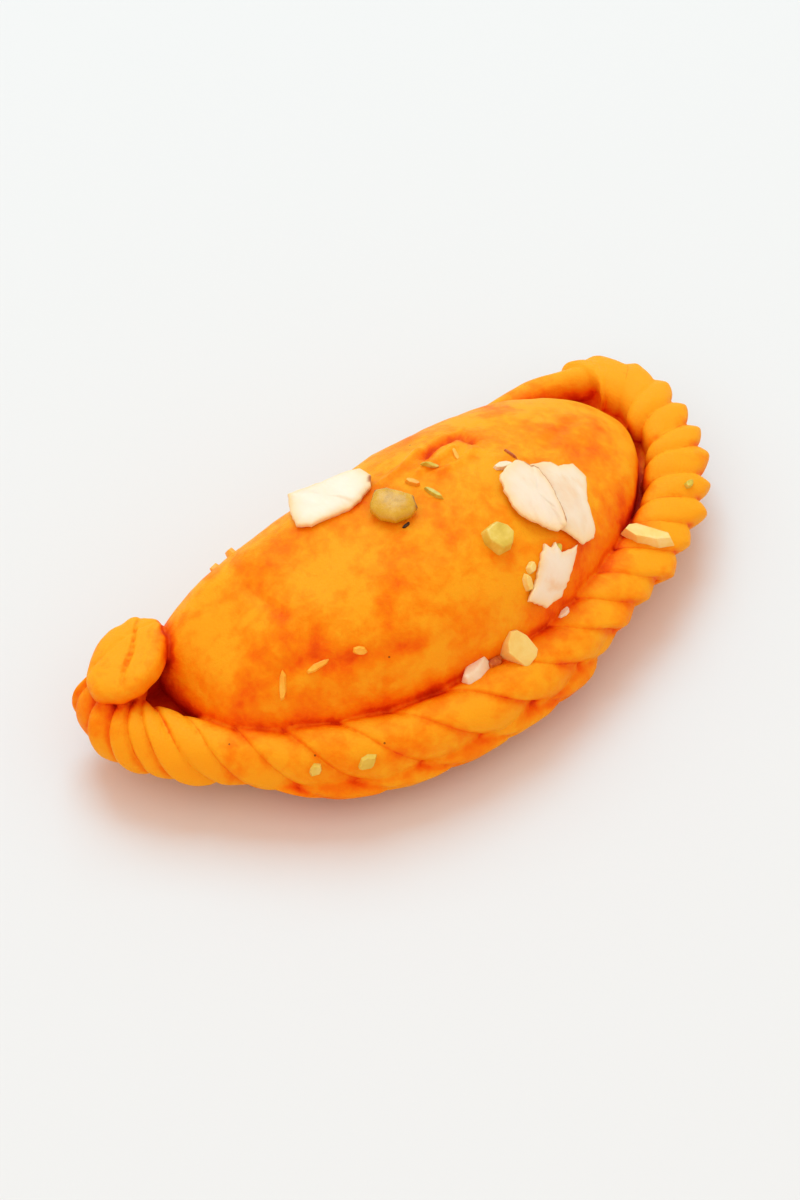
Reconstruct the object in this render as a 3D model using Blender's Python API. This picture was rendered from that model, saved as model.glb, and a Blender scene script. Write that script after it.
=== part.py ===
"""Gujiya: a half-moon of fried dough over a filling, its curved edge crimped into a rope, with nut toppings.

Metres, +Z up. +X runs along the straight fold, -Y points to the crimped front, and the foot stands on z = 0.
"""

import math
import random

import bmesh
import bpy
from mathutils import Matrix, Vector, noise
from mathutils.bvhtree import BVHTree

MM = 0.001

# Filled pillow. Its plan is four quarters of super-ellipses round one middle, listed by (right, back).
PILLOW_MIDDLE = Vector((5.0, -17.0)) * MM
PILLOW_LENGTHS = {True: 42.4 * MM, False: 46.6 * MM}
PILLOW_DEPTHS = {True: 19.5 * MM, False: 22.8 * MM}
PILLOW_SQUARENESS = {(True, True): 2.2, (False, True): 6.5, (True, False): 1.74, (False, False): 1.72}
SEAM_Z = 9.5 * MM
CROWN_HEIGHT = 18.6 * MM
CROWN_X, CROWN_SPREAD, CROWN_FALL = -13.0 * MM, 50.0 * MM, 0.34
BELLY_DEPTH = 11.5 * MM
WALL_STEEPNESS = 2.35
SWELL_SIZE = 15.0 * MM
SWELL_HEIGHT = 0.9 * MM
PILLOW_AROUND, PILLOW_RINGS = 60, 26

# Centre line of the rope crimp, from the left end round the front to the right end, in mm.
ROPE_STATIONS = (
    (-47.8, 0.8, 9.2),
    (-50.3, -4.4, 8.8),
    (-48.2, -12.0, 8.6),
    (-37.8, -26.6, 8.6),
    (-22.3, -37.8, 9.2),
    (-2.5, -41.9, 9.4),
    (17.0, -40.7, 9.3),
    (34.6, -37.0, 9.0),
    (48.4, -28.7, 9.0),
    (54.4, -17.2, 9.2),
    (54.6, -11.2, 9.3),
    (52.2, -7.0, 9.4),
    (46.8, -4.8, 9.3),
)
# The rope is thick up to the first of these shares of its length and thin from the second.
ROPE_THINS = (0.3, 0.75)
ROPE_HALF_WIDTHS, ROPE_WIDTH_CHANGE = (5.6 * MM, 4.9 * MM), (0.10, 0.24)
ROPE_HALF_HEIGHTS = (4.8 * MM, 3.3 * MM)
ROPE_EDGE_THINNING = 0.25
ROPE_END_TAPER, ROPE_END_SIZE = 0.018, 0.45
ROPE_WANDER = 0.5 * MM
ROPE_AROUND = 16

# Twists of the rope: short at both ends, shortest at the left, and long across the front.
SHORT_TWISTS, SHORT_TWIST_CHANGE = (3.6 * MM, 4.7 * MM), (0.05, 0.25)
LONG_TWIST = 10.8 * MM
LONG_TWIST_AT, LONG_TWIST_SPREAD = 0.39, 0.20
TWIST_UNEVENNESS = 0.10
TWIST_SIZES = (0.94, 1.06)
TWIST_GROOVES, TWIST_GROOVE_CHANGES = (0.25, 0.19, 0.30), ((0.12, 0.34), (0.58, 0.78))
TWIST_GROOVE_FADE, TWIST_GROOVE_FADED = (0.93, 0.975), 0.8
TWIST_TIPS = (0.4 * MM, 1.7 * MM)
TIP_SHARES, TIP_SHARE_CHANGE = (0.3, 0.72), (0.66, 0.80)
TWIST_ROWS = (0.0, 0.09, 0.28, 0.52, 0.76, 0.92)

# How far a crease falls back round the rope, and the angle over its outer edge where it turns back the other
# way. Each is given at the left, in the middle and at the right, with the shares of length where it changes.
LEANS, LEAN_CHANGES = (4.0 * MM, 15.0 * MM, 5.6 * MM), ((0.03, 0.17), (0.5, 0.82))
TIP_ANGLES, TIP_CHANGES = (-0.7, -0.25, -0.4), ((0.16, 0.34), (0.52, 0.66))
LEAN_BENDS, LEAN_BEND_CHANGES = (0.9, 1.4), (0.55, 0.82)

# Sealed edge of the dough, which shows as a second row of lobes below the rope across the front.
HEM_SPAN, HEM_FADE = (0.17, 0.63), 0.11
HEM_OUTS, HEM_DROPS = (-1.1 * MM, 1.5 * MM), (1.0 * MM, 3.2 * MM)
HEM_HALF_WIDTH, HEM_HALF_HEIGHT = 4.7 * MM, 2.6 * MM
HEM_GROOVE = 0.3
HEM_AROUND = 10

# Flat dough between pillow and rope. Its top is over the line where those two touch, so it seals no pocket.
FLANGE_TOP, FLANGE_THICKNESS = 10.0 * MM, 5.4 * MM
FLANGE_BACK = -1.0 * MM
FLANGE_POINTS = 60

# Rounded fold that closes the back, from the knob to the rope's far end, in mm.
FOLD_STATIONS = (
    (-47.0, -1.5, 8.4),
    (-30.0, -1.0, 8.0),
    (0.0, -1.0, 8.0),
    (38.0, -1.4, 8.2),
    (52.0, -6.4, 9.0),
)
FOLD_HALF_WIDTH, FOLD_HALF_HEIGHT = 3.1 * MM, 3.3 * MM
FOLD_AROUND, FOLD_RINGS = 12, 30

# Knob folded over the left end of the rope.
KNOB_AT = Vector((-44.6, -1.6, 15.0)) * MM
KNOB_SIZE = Vector((8.3, 5.8, 2.6)) * MM
KNOB_TURN, KNOB_TILT = math.radians(26), math.radians(-14)
KNOB_BULGE, KNOB_EDGE_BULGE = 0.8, 0.75
KNOB_RAGGEDNESS, KNOB_RAGS = 0.07, 2.2
KNOB_CREASE_SLOPE, KNOB_CREASE_AT, KNOB_CREASE_WIDTH, KNOB_CREASE_DEPTH = 0.35, -0.1, 0.12, 0.16
NECK_RADIUS = 4.4 * MM
NECK_OFFSET = Vector((-2.4, -0.5, -3.4)) * MM

# Nut pieces that are parts of their own: where they lie, which way they face, thickness and outline, in mm.
FLAKES = {
    "flake_left": (
        (-8.0, -6.0),
        (-0.05, -0.06, 1.0),
        1.1,
        ((-2.7, 5.1), (2.4, 3.2), (5.6, 2.2), (8.2, 0.5), (8.0, -2.3), (6.4, -3.9), (3.0, -5.0),
         (0.8, -5.1), (-1.5, -4.3), (-5.5, -3.3), (-7.0, -1.6), (-5.5, 1.4)),
    ),
    "pistachio": (
        (-2.0, -15.6),
        (-0.03, 0.0, 1.0),
        2.4,
        ((-2.9, 2.4), (-0.7, 3.8), (0.8, 2.9), (1.9, 0.9), (2.7, -1.3), (1.7, -3.1), (-0.1, -3.8),
         (-2.7, -2.9), (-3.9, -0.8), (-3.9, 1.4)),
    ),
    "flake_under": (
        (23.0, -28.6),
        None,
        0.9,
        ((-2.6, 7.2), (0.1, 6.6), (1.2, 5.8), (2.0, 4.6), (5.1, 3.6), (5.5, 0.7), (1.7, -2.7),
         (-0.3, -6.9), (-1.5, -7.8), (-4.4, -7.6), (-6.9, -3.8), (-6.0, 0.2), (-4.6, 4.6)),
    ),
    "flake_over": (
        (16.9, -26.7),
        None,
        1.0,
        ((-2.9, 5.6), (-1.2, 6.1), (1.5, 6.3), (2.7, 5.2), (3.6, 3.2), (3.3, 0.6), (2.3, -2.7),
         (1.2, -5.5), (0.0, -6.9), (-2.0, -6.6), (-4.6, -2.9), (-5.4, -0.4), (-4.4, 3.3)),
    ),
    "flake_front": (
        (11.2, -36.7),
        (0.12, -0.62, 0.77),
        1.2,
        ((1.0, 4.7), (1.7, 3.6), (2.8, 3.8), (2.8, 2.1), (4.5, 1.5), (6.4, 1.4), (4.0, -0.5), (1.5, -2.2),
         (-0.9, -3.5), (-4.3, -3.4), (-7.1, -0.8), (-4.0, 1.1), (-2.0, 2.7)),
    ),
    "nut_chunk": (
        (0.4, -39.2),
        (-0.1, -0.72, 0.69),
        3.0,
        ((0.8, 2.5), (1.6, 1.2), (2.1, -1.9), (1.2, -2.8), (-1.4, -3.5), (-2.8, 0.1), (-1.8, 1.8),
         (-0.4, 2.9)),
    ),
}
FLAKE_EDGE = 4.0
FLAKE_BEND = 0.55
FLAKE_GAP = 0.42 * MM
FLAKE_REACH, FLAKE_OVERHANG = 12.0 * MM, 3.0 * MM

# Small nut bits stuck to the dough: where, length, width, thickness, and turn in degrees, in mm.
BITS = (
    (6.8, -28.8, 4.5, 4.1, 2.6, 20),
    (-7.4, -38.6, 7.0, 3.4, 2.8, 14),
    (-3.9, -39.2, 3.2, 1.9, 1.6, 5),
    (31.6, -37.8, 7.6, 2.3, 1.4, -56),
    (10.6, -39.8, 2.6, 1.2, 0.9, 10),
    (8.0, -34.8, 2.2, 1.3, 1.2, 30),
    (6.0, -36.0, 2.6, 1.4, 1.3, 70),
    (-36.2, -33.7, 1.9, 1.6, 1.0, 20),
    (-30.2, -38.5, 3.0, 1.8, 1.1, 10),
    (-21.6, 0.2, 2.6, 1.5, 1.1, 60),
    (-24.6, 0.6, 1.8, 1.2, 1.0, 20),
    (-33.0, -23.5, 4.9, 1.2, 1.1, 52),
    (-27.8, -25.6, 4.1, 1.1, 1.0, -8),
    (-21.8, -28.4, 2.2, 1.4, 1.1, -40),
    (8.2, -12.8, 3.0, 0.9, 0.9, -44),
    (4.2, -17.2, 3.2, 1.0, 0.9, -80),
    (3.6, -13.6, 1.8, 1.2, 0.9, 0),
    (44.6, -34.6, 1.8, 1.2, 1.1, 0),
)
BIT_SINK = 0.2
BIT_SIZES = (0.86, 1.14)
FINE_BIT_LENGTH = 4

# Above everything, where rays start down.
SKY = 100.0 * MM
# Edges shorter than this are dropped after joining.
SLIVER = 0.001 * MM
SMOOTH_ANGLE = math.radians(42)

# Colour and roughness of each part.
FINISHES = {
    "pastry": ((0.87, 0.33, 0.03), 0.62),
    "flake_left": ((0.90, 0.78, 0.58), 0.45),
    "pistachio": ((0.38, 0.28, 0.05), 0.40),
    "flake_under": ((0.92, 0.76, 0.60), 0.50),
    "flake_over": ((0.90, 0.75, 0.54), 0.50),
    "flake_front": ((0.93, 0.86, 0.78), 0.50),
    "nut_chunk": ((0.85, 0.78, 0.35), 0.50),
}

random.seed(7)


class Route:
    """A smooth line through stations, read by distance along it."""

    def __init__(self, stations, steps=12):
        ends = [stations[0] * 2 - stations[1], *stations, stations[-1] * 2 - stations[-2]]
        spans = range(len(stations) - 1)
        self.points = [self.between(ends, span, step / steps) for span in spans for step in range(steps)]
        self.points.append(stations[-1])
        self.reached = [0.0]
        for a, b in zip(self.points, self.points[1:]):
            self.reached.append(self.reached[-1] + (b - a).length)
        self.length = self.reached[-1]

    @staticmethod
    def between(ends, span, t):
        a, b, c, d = ends[span : span + 4]
        bend = (a * 2 - b * 5 + c * 4 - d) * t * t + (b * 3 - a - c * 3 + d) * t * t * t
        return (b * 2 + (c - a) * t + bend) / 2

    def at(self, distance):
        """The point this far along, which may lie past either end."""
        low, high = 0, len(self.points) - 1
        while high - low > 1:
            middle = (low + high) // 2
            if self.reached[middle] <= distance:
                low = middle
            else:
                high = middle
        share = (distance - self.reached[low]) / (self.reached[high] - self.reached[low])
        return self.points[low].lerp(self.points[high], share)

    def direction(self, distance):
        step = self.length / 160
        return (self.at(distance + step) - self.at(distance - step)).normalized()


def signed_power(value, power):
    return math.copysign(abs(value) ** power, value)


def smooth(low, high, value):
    share = min(max((value - low) / (high - low), 0.0), 1.0)
    return share * share * (3 - 2 * share)


def mix(a, b, share):
    return a + (b - a) * share


def between(values, changes, along):
    """The value at the left, in the middle and at the right, with a soft change from each to the next."""
    left, middle, right = values
    return mix(mix(left, middle, smooth(*changes[0], along)), right, smooth(*changes[1], along))


def twist_ends(length):
    """Distances along the rope at which each twist ends, evened out to fill it exactly."""
    ends = [0.0]
    while ends[-1] < length:
        along = ends[-1] / length
        swell = math.exp(-(((along - LONG_TWIST_AT) / LONG_TWIST_SPREAD) ** 2))
        pitch = mix(mix(*SHORT_TWISTS, smooth(*SHORT_TWIST_CHANGE, along)), LONG_TWIST, swell)
        ends.append(ends[-1] + pitch * random.uniform(1 - TWIST_UNEVENNESS, 1 + TWIST_UNEVENNESS))
    return [end * length / ends[-1] for end in ends]


def new_object(name, bm):
    mesh = bpy.data.meshes.new(name)
    bm.to_mesh(mesh)
    bm.free()
    obj = bpy.data.objects.new(name, mesh)
    bpy.data.collections["gujiya"].objects.link(obj)
    return obj


def tube(rings, around, place):
    """A cylinder whose vertices are moved to place(ring, angle), with angle from -pi to pi."""
    bm = bmesh.new()
    bmesh.ops.create_cone(bm, cap_ends=False, segments=around, radius1=1, radius2=1, depth=1)
    uprights = [edge for edge in bm.edges if abs(edge.verts[0].co.z - edge.verts[1].co.z) > 0.5]
    bmesh.ops.subdivide_edges(bm, edges=uprights, cuts=rings - 1)
    for vert in bm.verts:
        angle = math.atan2(vert.co.y, vert.co.x) + math.pi / around
        vert.co = place(round((vert.co.z + 0.5) * rings), math.remainder(angle, 2 * math.pi))
    bmesh.ops.holes_fill(bm, edges=[edge for edge in bm.edges if edge.is_boundary], sides=0)
    bmesh.ops.recalc_face_normals(bm, faces=bm.faces)
    return bm


def pillow_reach(angle):
    """Distance from the pillow's middle to the edge of its plan."""
    right, back = math.cos(angle) > 0, math.sin(angle) > 0
    power = PILLOW_SQUARENESS[right, back]
    across = (abs(math.cos(angle)) / PILLOW_LENGTHS[right]) ** power
    deep = (abs(math.sin(angle)) / PILLOW_DEPTHS[back]) ** power
    return (across + deep) ** (-1 / power)


def pillow():
    bm = bmesh.new()
    bmesh.ops.create_uvsphere(bm, u_segments=PILLOW_AROUND, v_segments=PILLOW_RINGS, radius=1)
    for vert in bm.verts:
        angle = math.atan2(vert.co.y, vert.co.x)
        out = min(math.hypot(vert.co.x, vert.co.y), 1.0) ** (2 / WALL_STEEPNESS)
        rise = signed_power(vert.co.z, 2 / WALL_STEEPNESS)
        plan = PILLOW_MIDDLE + Vector((math.cos(angle), math.sin(angle))) * out * pillow_reach(angle)
        fall = 1 - CROWN_FALL * ((plan.x - CROWN_X) / CROWN_SPREAD) ** 2
        height = CROWN_HEIGHT * fall if rise > 0 else BELLY_DEPTH
        swell = noise.noise(Vector((plan.x, plan.y, rise * height)) / SWELL_SIZE) * SWELL_HEIGHT
        z = SEAM_Z + rise * height + swell * max(rise, 0.0)
        vert.co = (plan.x, plan.y, max(z, 0.0))
    return new_object("pillow", bm)


def twisted(name, route, ends, around, rows, section):
    """A tube whose rings lean along the route, with section(twist, share, along, angle) giving (out, up)."""
    count = len(ends) - 1

    def place(ring, angle):
        twist, row = divmod(ring, len(rows))
        share = rows[row]
        if twist == count:
            twist, share = count - 1, 1.0
        centre = mix(ends[twist], ends[twist + 1], share)
        along = centre / route.length
        tip = between(TIP_ANGLES, TIP_CHANGES, along)
        turned = (angle - tip) / (math.pi - tip) if angle > tip else (tip - angle) / (math.pi + tip)
        bend = mix(*LEAN_BENDS, smooth(*LEAN_BEND_CHANGES, along))
        distance = centre - between(LEANS, LEAN_CHANGES, along) * turned**bend
        at, ahead = route.at(distance), route.direction(distance)
        outward = Vector((ahead.y, -ahead.x, 0.0)).normalized()
        out, up = section(twist, share, along, angle)
        return at + outward * out + Vector((0, 0, up))

    return new_object(name, tube(count * len(rows), around, place))


def ridge_of(share):
    """0 in the creases at either end of a twist and 1 on its ridge."""
    return math.sqrt(max(1 - (2 * share - 1) ** 2, 0.0))


def rope(route, ends):
    sizes = [random.uniform(*TWIST_SIZES) for _ in ends]
    wander = [random.uniform(-ROPE_WANDER, ROPE_WANDER) for _ in ends]

    def section(twist, share, along, angle):
        thin = smooth(*ROPE_THINS, along)
        ridge = ridge_of(share)
        groove = between(TWIST_GROOVES, TWIST_GROOVE_CHANGES, along)
        groove *= 1 - TWIST_GROOVE_FADED * smooth(*TWIST_GROOVE_FADE, along)
        grow = (1 - groove * (1 - ridge)) * mix(1.0, sizes[twist], ridge)
        grow *= mix(ROPE_END_SIZE, 1.0, smooth(0.0, ROPE_END_TAPER, min(along, 1 - along)))
        peak = mix(*TIP_SHARES, smooth(*TIP_SHARE_CHANGE, along))
        rise = min(share / peak, (1 - share) / (1 - peak))
        tip = mix(*TWIST_TIPS, thin) * (rise - 0.5) * max(math.cos(angle), 0.0) ** 2
        half_width = mix(*ROPE_HALF_WIDTHS, smooth(*ROPE_WIDTH_CHANGE, along))
        out = math.cos(angle) * half_width * grow + tip + wander[twist] * ridge
        edge = 1 - ROPE_EDGE_THINNING * math.cos(angle) * thin
        up = math.sin(angle) * mix(*ROPE_HALF_HEIGHTS, thin) * grow * edge
        return out, up

    return twisted("rope", route, ends, ROPE_AROUND, TWIST_ROWS, section)


def hem(route, ends):
    """The lower row of lobes, half a twist out of step with the rope and drawn in under it at both ends."""
    low, high = (route.length * share for share in HEM_SPAN)
    halves = [(a + b) / 2 for a, b in zip(ends, ends[1:])]
    halves = [end for end in halves if low < end < high]

    def section(_, share, along, angle):
        swell = smooth(0.0, HEM_FADE, along - HEM_SPAN[0]) * smooth(0.0, HEM_FADE, HEM_SPAN[1] - along)
        grow = 1 - HEM_GROOVE * (1 - ridge_of(share))
        out = mix(*HEM_OUTS, swell) + math.cos(angle) * HEM_HALF_WIDTH * grow
        up = -mix(*HEM_DROPS, swell) + math.sin(angle) * HEM_HALF_HEIGHT * grow
        return out, up

    return twisted("hem", route, halves, HEM_AROUND, TWIST_ROWS[::2], section)


def flange(route):
    """The sealed dough between pillow and rope: a half-moon plate at the seam."""
    bm = bmesh.new()
    bmesh.ops.create_circle(bm, cap_ends=True, segments=FLANGE_POINTS, radius=1)
    for i, vert in enumerate(bm.verts):
        at = route.at(route.length * i / (FLANGE_POINTS - 1))
        vert.co = (at.x, min(at.y, FLANGE_BACK), FLANGE_TOP - FLANGE_THICKNESS)
    grown = bmesh.ops.extrude_face_region(bm, geom=list(bm.faces))["geom"]
    top = [item for item in grown if isinstance(item, bmesh.types.BMVert)]
    bmesh.ops.translate(bm, vec=(0, 0, FLANGE_THICKNESS), verts=top)
    bmesh.ops.recalc_face_normals(bm, faces=bm.faces)
    return new_object("flange", bm)


def fold():
    route = Route([Vector(station) * MM for station in FOLD_STATIONS])

    def place(ring, angle):
        out = Vector((0, math.cos(angle) * FOLD_HALF_WIDTH, math.sin(angle) * FOLD_HALF_HEIGHT))
        return route.at(route.length * ring / FOLD_RINGS) + out

    return new_object("fold", tube(FOLD_RINGS, FOLD_AROUND, place))


def knob():
    bm = bmesh.new()
    bmesh.ops.create_uvsphere(bm, u_segments=22, v_segments=12, radius=1)
    for vert in bm.verts:
        angle = math.atan2(vert.co.y, vert.co.x)
        ragged = noise.noise(Vector((math.cos(angle), math.sin(angle), 0.0)) * KNOB_RAGS) * KNOB_RAGGEDNESS
        out = math.hypot(vert.co.x, vert.co.y) ** KNOB_EDGE_BULGE * (1 + ragged)
        off_crease = (vert.co.y - KNOB_CREASE_SLOPE * vert.co.x - KNOB_CREASE_AT) / KNOB_CREASE_WIDTH
        crease = KNOB_CREASE_DEPTH * math.exp(-(off_crease**2)) if vert.co.z > 0 else 0.0
        z = signed_power(vert.co.z, KNOB_BULGE) - crease
        vert.co = (math.cos(angle) * out * KNOB_SIZE.x, math.sin(angle) * out * KNOB_SIZE.y, z * KNOB_SIZE.z)
    turn = Matrix.Rotation(KNOB_TURN, 4, "Z") @ Matrix.Rotation(KNOB_TILT, 4, "X")
    bmesh.ops.transform(bm, matrix=Matrix.Translation(KNOB_AT) @ turn, verts=bm.verts)
    return new_object("knob", bm)


def neck():
    """The dough that carries the knob up from the rope's end."""
    bm = bmesh.new()
    bmesh.ops.create_uvsphere(bm, u_segments=16, v_segments=8, radius=NECK_RADIUS)
    bmesh.ops.translate(bm, vec=KNOB_AT + NECK_OFFSET, verts=bm.verts)
    return new_object("neck", bm)


def surface_of(objects):
    """What rays can be cast on: the faces of these objects together."""
    verts, faces = [], []
    for obj in objects:
        faces += [[index + len(verts) for index in polygon.vertices] for polygon in obj.data.polygons]
        verts += [vert.co for vert in obj.data.vertices]
    return BVHTree.FromPolygons(verts, faces)


def resting_frame(surface, at, facing=None):
    """A frame on the surface below the point, with X kept level and Z along facing or the surface normal."""
    above = Vector((at[0] * MM, at[1] * MM, SKY))
    loc, normal, _, _ = surface.ray_cast(above, Vector((0, 0, -1)))
    z = Vector(facing).normalized() if facing else normal
    x = (Vector((1, 0, 0)) - z * z.x).normalized()
    frame = Matrix((x, z.cross(x), z)).transposed().to_4x4()
    frame.translation = loc
    return frame


def bit(surface, x, y, length, width, thickness, turn):
    """An angular crumb of nut, sunk a little into the dough."""
    bm = bmesh.new()
    bmesh.ops.create_icosphere(bm, subdivisions=2 if length > FINE_BIT_LENGTH else 1, radius=0.5)
    for vert in bm.verts:
        rough = random.uniform(*BIT_SIZES) * MM
        vert.co = Vector((vert.co.x * length, vert.co.y * width, (vert.co.z + BIT_SINK) * thickness)) * rough
    frame = resting_frame(surface, (x, y)) @ Matrix.Rotation(math.radians(turn), 4, "Z")
    bmesh.ops.transform(bm, matrix=frame, verts=bm.verts)
    return new_object("bit", bm)


def flake(name, surface, at, facing, thickness, outline):
    """A thin piece of nut with this outline, part way bent to the surface and held just clear of it."""
    around = 2 * len(outline)
    bm = bmesh.new()
    bmesh.ops.create_uvsphere(bm, u_segments=around, v_segments=6, radius=1)
    frame = resting_frame(surface, at, facing)
    up = frame.col[2].xyz
    lift = -1.0
    for vert in bm.verts:
        corner, half = divmod(round(math.atan2(vert.co.y, vert.co.x) / math.tau * around) % around, 2)
        rim = Vector(outline[-corner]).lerp(Vector(outline[-corner - 1]), half / 2)
        out = min(math.hypot(vert.co.x, vert.co.y), 1.0) ** (2 / FLAKE_EDGE)
        height = thickness / 2 * signed_power(vert.co.z, 2 / FLAKE_EDGE) * MM
        base = frame @ (rim.to_3d() * out * MM)
        hit = surface.ray_cast(base + up * FLAKE_REACH, -up)[3]
        drop = max(FLAKE_REACH - hit, -FLAKE_OVERHANG) if hit else -FLAKE_OVERHANG
        vert.co = base + up * (drop * FLAKE_BEND + height)
        lift = max(lift, drop * (1 - FLAKE_BEND) - height)
    bmesh.ops.translate(bm, vec=up * (lift + FLAKE_GAP), verts=bm.verts)
    bmesh.ops.recalc_face_normals(bm, faces=bm.faces)
    return new_object(name, bm)


def keep_outer_shell(bm):
    """Fills the pockets sealed between joined solids, by dropping every shell of faces but the largest."""
    left = set(bm.faces)
    shells = []
    while left:
        found = [left.pop()]
        for face in found:
            near = {other for edge in face.edges for other in edge.link_faces} & left
            left -= near
            found.extend(near)
        shells.append(found)
    shells.sort(key=len)
    for shell in shells[:-1]:
        bmesh.ops.delete(bm, geom=shell, context="FACES")


def join(base, others, name):
    """One Boolean union of base with the others, applied, with the others removed."""
    group = bpy.data.collections.new("joined")
    for obj in others:
        group.objects.link(obj)
    union = base.modifiers.new("union", "BOOLEAN")
    union.operation = "UNION"
    union.operand_type = "COLLECTION"
    union.collection = group
    # EXACT leaves loose slivers here, where bits cross the rope's creases.
    union.solver = "MANIFOLD"
    graph = bpy.context.evaluated_depsgraph_get()
    mesh = bpy.data.meshes.new_from_object(base.evaluated_get(graph))
    for obj in [base, *others]:
        bpy.data.objects.remove(obj)
    bpy.data.collections.remove(group)
    bm = bmesh.new()
    bm.from_mesh(mesh)
    bpy.data.meshes.remove(mesh)
    bmesh.ops.triangulate(bm, faces=bm.faces)
    bmesh.ops.dissolve_degenerate(bm, dist=SLIVER, edges=bm.edges)
    keep_outer_shell(bm)
    return new_object(name, bm)


def centre(parts):
    """Moves every mesh so that the whole stands over the origin."""
    points = [vert.co for obj in parts for vert in obj.data.vertices]
    low = Vector(map(min, *points))
    high = Vector(map(max, *points))
    move = Matrix.Translation((-(low.x + high.x) / 2, -(low.y + high.y) / 2, -low.z))
    for obj in parts:
        obj.data.transform(move)


def finish(name, colour, roughness):
    material = bpy.data.materials.new(name)
    material.use_nodes = True
    shader = material.node_tree.nodes["Principled BSDF"]
    shader.inputs["Base Color"].default_value = (*colour, 1.0)
    shader.inputs["Roughness"].default_value = roughness
    shader.inputs["Metallic"].default_value = 0.0
    return material


def main():
    for obj in list(bpy.data.objects):
        bpy.data.objects.remove(obj)
    bpy.context.scene.collection.children.link(bpy.data.collections.new("gujiya"))
    route = Route([Vector(station) * MM for station in ROPE_STATIONS])
    ends = twist_ends(route.length)
    base = pillow()
    dough = [rope(route, ends), hem(route, ends), flange(route), fold(), knob(), neck()]
    surface = surface_of([base, *dough])
    bits = [bit(surface, *sizes) for sizes in BITS]
    parts = [join(base, dough + bits, "pastry")]
    for name, sizes in FLAKES.items():
        parts.append(flake(name, surface_of(parts), *sizes))
    centre(parts)
    for obj in parts:
        obj.data.materials.append(finish(obj.name, *FINISHES[obj.name]))
        obj.data.shade_smooth()
        obj.data.set_sharp_from_angle(angle=SMOOTH_ANGLE)


main()
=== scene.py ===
import math
import random
from functools import partial

import bmesh
import bpy
import numpy as np
from mathutils import Matrix, Vector, noise
from mathutils.bvhtree import BVHTree
from mathutils.interpolate import poly_3d_calc


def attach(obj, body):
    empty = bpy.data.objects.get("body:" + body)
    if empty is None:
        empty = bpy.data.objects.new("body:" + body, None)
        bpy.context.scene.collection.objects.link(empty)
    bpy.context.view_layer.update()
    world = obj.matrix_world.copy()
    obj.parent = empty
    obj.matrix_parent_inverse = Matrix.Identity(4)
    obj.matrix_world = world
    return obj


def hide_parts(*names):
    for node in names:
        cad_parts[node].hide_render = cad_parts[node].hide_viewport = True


# A gujiya: fried half-moon pastry with a rope-crimped edge and nut toppings.
# Shapes are worked out in millimetres, in the plan they were drawn on, and moved onto the frame at the end.

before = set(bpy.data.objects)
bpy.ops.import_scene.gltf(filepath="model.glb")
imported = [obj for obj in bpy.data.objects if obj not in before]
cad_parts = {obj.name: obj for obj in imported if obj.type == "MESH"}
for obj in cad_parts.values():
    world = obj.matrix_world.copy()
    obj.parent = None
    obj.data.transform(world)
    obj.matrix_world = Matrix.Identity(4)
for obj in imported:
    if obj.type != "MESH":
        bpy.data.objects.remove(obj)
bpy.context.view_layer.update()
mm = 0.001
planShift = Vector((-1.9798, 21.6959, 0.0))  # where the plan's middle is in the frame
placing = Matrix.Translation(planShift * mm) @ Matrix.Scale(mm, 4)
random.seed(7)
print("stage: frame loaded")


# small sums used by every shape

def signedPower(value, power):
    return math.copysign(abs(value) ** power, value)


def ease(low, high, value):
    share = min(max((value - low) / (high - low), 0.0), 1.0)
    return share * share * (3 - 2 * share)


def blend(a, b, share):
    return a + (b - a) * share


def between(values, changes, along):
    # at the left, in the middle and at the right, with a soft change from each to the next
    left, middle, right = values
    return blend(blend(left, middle, ease(*changes[0], along)), right, ease(*changes[1], along))


def bump(distance, width):
    return math.exp(-((distance / width) ** 2))


class Route:
    # a smooth line through stations, read by the distance along it
    def __init__(self, stations, steps=16):
        stations = [Vector(station) for station in stations]
        ends = [stations[0] * 2 - stations[1], *stations, stations[-1] * 2 - stations[-2]]
        spans = range(len(stations) - 1)
        self.points = [self.between(ends, span, step / steps) for span in spans for step in range(steps)]
        self.points.append(stations[-1])
        self.reached = [0.0]
        for a, b in zip(self.points, self.points[1:]):
            self.reached.append(self.reached[-1] + (b - a).length)
        self.length = self.reached[-1]

    @staticmethod
    def between(ends, span, t):
        a, b, c, d = ends[span:span + 4]
        bend = (a * 2 - b * 5 + c * 4 - d) * t * t + (b * 3 - a - c * 3 + d) * t * t * t
        return (b * 2 + (c - a) * t + bend) / 2

    def at(self, distance):
        low = int(np.searchsorted(self.reached, distance, side="right")) - 1
        low = min(max(low, 0), len(self.points) - 2)
        share = (distance - self.reached[low]) / (self.reached[low + 1] - self.reached[low])
        return self.points[low].lerp(self.points[low + 1], share)

    def ahead(self, distance):
        step = self.length / 160
        return (self.at(distance + step) - self.at(distance - step)).normalized()


def newObject(name, data):
    piece = bpy.data.objects.new(name, data)
    bpy.context.scene.collection.objects.link(piece)
    return piece


def newPiece(name, bm):
    mesh = bpy.data.meshes.new(name)
    bm.to_mesh(mesh)
    bm.free()
    return newObject(name, mesh)


def evaluated(piece):
    graph = bpy.context.evaluated_depsgraph_get()
    return bpy.data.meshes.new_from_object(piece.evaluated_get(graph))


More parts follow.
